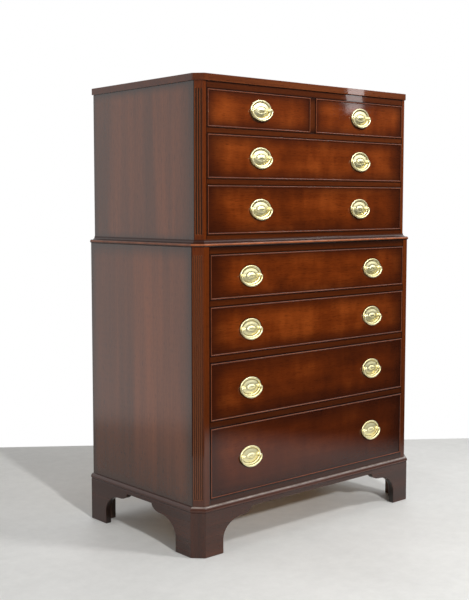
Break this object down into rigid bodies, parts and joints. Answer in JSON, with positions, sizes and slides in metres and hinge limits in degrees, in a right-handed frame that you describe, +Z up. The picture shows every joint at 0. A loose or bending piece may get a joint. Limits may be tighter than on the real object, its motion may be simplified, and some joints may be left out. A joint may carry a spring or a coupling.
{
  "type": "highboy",
  "caption": "Tall two-part chest of drawers with fluted canted corners, a moulded waist, a bracket base and oval brass bail handles.",
  "frame": {"origin": "on the floor, midway across the width and midway between the back and the foremost point of the handles", "axes": "+X to the right for someone facing the drawers, -Y out of the drawer fronts, +Z up"},
  "size_m": [0.972, 0.53, 1.372],
  "materials": {
    "mahogany": "polished red-brown mahogany, lacquered",
    "drawer_front": "figured mahogany veneer, lacquered",
    "secondary_wood": "bare oiled poplar",
    "panel_wood": "bare thin plywood",
    "brass": "polished stamped and cast brass, lacquered"
  },
  "bodies": {
    "carcass": {"base_moulding": "mahogany", "bracket_base": "mahogany", "drawer_guides": "secondary_wood", "drawer_stops": "secondary_wood", "dust_panels": "panel_wood", "foot_blocks": "secondary_wood", "lower_back": "panel_wood", "lower_corner_post_left": "mahogany", "lower_corner_post_right": "mahogany", "lower_front_rails": "mahogany", "lower_runners": "secondary_wood", "lower_side_left": "mahogany", "lower_side_right": "mahogany", "top_board": "mahogany", "upper_back": "panel_wood", "upper_corner_post_left": "mahogany", "upper_corner_post_right": "mahogany", "upper_front_rails": "mahogany", "upper_runners": "secondary_wood", "upper_side_left": "mahogany", "upper_side_right": "mahogany", "waist_moulding": "mahogany"},
    "drawer_1": {"drawer_1_front": "drawer_front", "drawer_1_box": "secondary_wood", "drawer_1_handle_plates": "brass"},
    "drawer_2": {"drawer_2_front": "drawer_front", "drawer_2_box": "secondary_wood", "drawer_2_handle_plates": "brass"},
    "drawer_3": {"drawer_3_front": "drawer_front", "drawer_3_box": "secondary_wood", "drawer_3_handle_plates": "brass"},
    "drawer_4": {"drawer_4_front": "drawer_front", "drawer_4_box": "secondary_wood", "drawer_4_handle_plates": "brass"},
    "drawer_5": {"drawer_5_front": "drawer_front", "drawer_5_box": "secondary_wood", "drawer_5_handle_plates": "brass"},
    "drawer_6": {"drawer_6_front": "drawer_front", "drawer_6_box": "secondary_wood", "drawer_6_handle_plates": "brass"},
    "drawer_7": {"drawer_7_front": "drawer_front", "drawer_7_box": "secondary_wood", "drawer_7_handle_plates": "brass"},
    "drawer_8": {"drawer_8_front": "drawer_front", "drawer_8_box": "secondary_wood", "drawer_8_handle_plates": "brass"},
    "drawer_1_bail": {"drawer_1_bail": "brass"},
    "drawer_2_bail": {"drawer_2_bail": "brass"},
    "drawer_3_bail_left": {"drawer_3_bail_left": "brass"},
    "drawer_3_bail_right": {"drawer_3_bail_right": "brass"},
    "drawer_4_bail_left": {"drawer_4_bail_left": "brass"},
    "drawer_4_bail_right": {"drawer_4_bail_right": "brass"},
    "drawer_5_bail_left": {"drawer_5_bail_left": "brass"},
    "drawer_5_bail_right": {"drawer_5_bail_right": "brass"},
    "drawer_6_bail_left": {"drawer_6_bail_left": "brass"},
    "drawer_6_bail_right": {"drawer_6_bail_right": "brass"},
    "drawer_7_bail_left": {"drawer_7_bail_left": "brass"},
    "drawer_7_bail_right": {"drawer_7_bail_right": "brass"},
    "drawer_8_bail_left": {"drawer_8_bail_left": "brass"},
    "drawer_8_bail_right": {"drawer_8_bail_right": "brass"}
  },
  "joints": [
    {"name": "drawer_1_slide", "type": "slide", "parent": "carcass", "child": "drawer_1", "axis": [0, -1, 0], "range_m": [0, 0.33]},
    {"name": "drawer_2_slide", "type": "slide", "parent": "carcass", "child": "drawer_2", "axis": [0, -1, 0], "range_m": [0, 0.33]},
    {"name": "drawer_3_slide", "type": "slide", "parent": "carcass", "child": "drawer_3", "axis": [0, -1, 0], "range_m": [0, 0.33]},
    {"name": "drawer_4_slide", "type": "slide", "parent": "carcass", "child": "drawer_4", "axis": [0, -1, 0], "range_m": [0, 0.33]},
    {"name": "drawer_5_slide", "type": "slide", "parent": "carcass", "child": "drawer_5", "axis": [0, -1, 0], "range_m": [0, 0.33]},
    {"name": "drawer_6_slide", "type": "slide", "parent": "carcass", "child": "drawer_6", "axis": [0, -1, 0], "range_m": [0, 0.33]},
    {"name": "drawer_7_slide", "type": "slide", "parent": "carcass", "child": "drawer_7", "axis": [0, -1, 0], "range_m": [0, 0.33]},
    {"name": "drawer_8_slide", "type": "slide", "parent": "carcass", "child": "drawer_8", "axis": [0, -1, 0], "range_m": [0, 0.33]},
    {"name": "drawer_1_bail_swing", "type": "hinge", "parent": "drawer_1", "child": "drawer_1_bail", "pos_m": [-0.21975, -0.24845, 1.282], "axis": [-1, 0, 0], "range_deg": [-4, 95]},
    {"name": "drawer_2_bail_swing", "type": "hinge", "parent": "drawer_2", "child": "drawer_2_bail", "pos_m": [0.21975, -0.24845, 1.282], "axis": [-1, 0, 0], "range_deg": [-4, 95]},
    {"name": "drawer_3_bail_left_swing", "type": "hinge", "parent": "drawer_3", "child": "drawer_3_bail_left", "pos_m": [-0.21975, -0.24845, 1.1445], "axis": [-1, 0, 0], "range_deg": [-4, 95]},
    {"name": "drawer_3_bail_right_swing", "type": "hinge", "parent": "drawer_3", "child": "drawer_3_bail_right", "pos_m": [0.21975, -0.24845, 1.1445], "axis": [-1, 0, 0], "range_deg": [-4, 95]},
    {"name": "drawer_4_bail_left_swing", "type": "hinge", "parent": "drawer_4", "child": "drawer_4_bail_left", "pos_m": [-0.21975, -0.24845, 0.99475], "axis": [-1, 0, 0], "range_deg": [-4, 95]},
    {"name": "drawer_4_bail_right_swing", "type": "hinge", "parent": "drawer_4", "child": "drawer_4_bail_right", "pos_m": [0.21975, -0.24845, 0.99475], "axis": [-1, 0, 0], "range_deg": [-4, 95]},
    {"name": "drawer_5_bail_left_swing", "type": "hinge", "parent": "drawer_5", "child": "drawer_5_bail_left", "pos_m": [-0.271, -0.26045, 0.80275], "axis": [-1, 0, 0], "range_deg": [-4, 95]},
    {"name": "drawer_5_bail_right_swing", "type": "hinge", "parent": "drawer_5", "child": "drawer_5_bail_right", "pos_m": [0.271, -0.26045, 0.80275], "axis": [-1, 0, 0], "range_deg": [-4, 95]},
    {"name": "drawer_6_bail_left_swing", "type": "hinge", "parent": "drawer_6", "child": "drawer_6_bail_left", "pos_m": [-0.271, -0.26045, 0.64725], "axis": [-1, 0, 0], "range_deg": [-4, 95]},
    {"name": "drawer_6_bail_right_swing", "type": "hinge", "parent": "drawer_6", "child": "drawer_6_bail_right", "pos_m": [0.271, -0.26045, 0.64725], "axis": [-1, 0, 0], "range_deg": [-4, 95]},
    {"name": "drawer_7_bail_left_swing", "type": "hinge", "parent": "drawer_7", "child": "drawer_7_bail_left", "pos_m": [-0.271, -0.26045, 0.4745], "axis": [-1, 0, 0], "range_deg": [-4, 95]},
    {"name": "drawer_7_bail_right_swing", "type": "hinge", "parent": "drawer_7", "child": "drawer_7_bail_right", "pos_m": [0.271, -0.26045, 0.4745], "axis": [-1, 0, 0], "range_deg": [-4, 95]},
    {"name": "drawer_8_bail_left_swing", "type": "hinge", "parent": "drawer_8", "child": "drawer_8_bail_left", "pos_m": [-0.271, -0.26045, 0.26925], "axis": [-1, 0, 0], "range_deg": [-4, 95]},
    {"name": "drawer_8_bail_right_swing", "type": "hinge", "parent": "drawer_8", "child": "drawer_8_bail_right", "pos_m": [0.271, -0.26045, 0.26925], "axis": [-1, 0, 0], "range_deg": [-4, 95]}
  ]
}
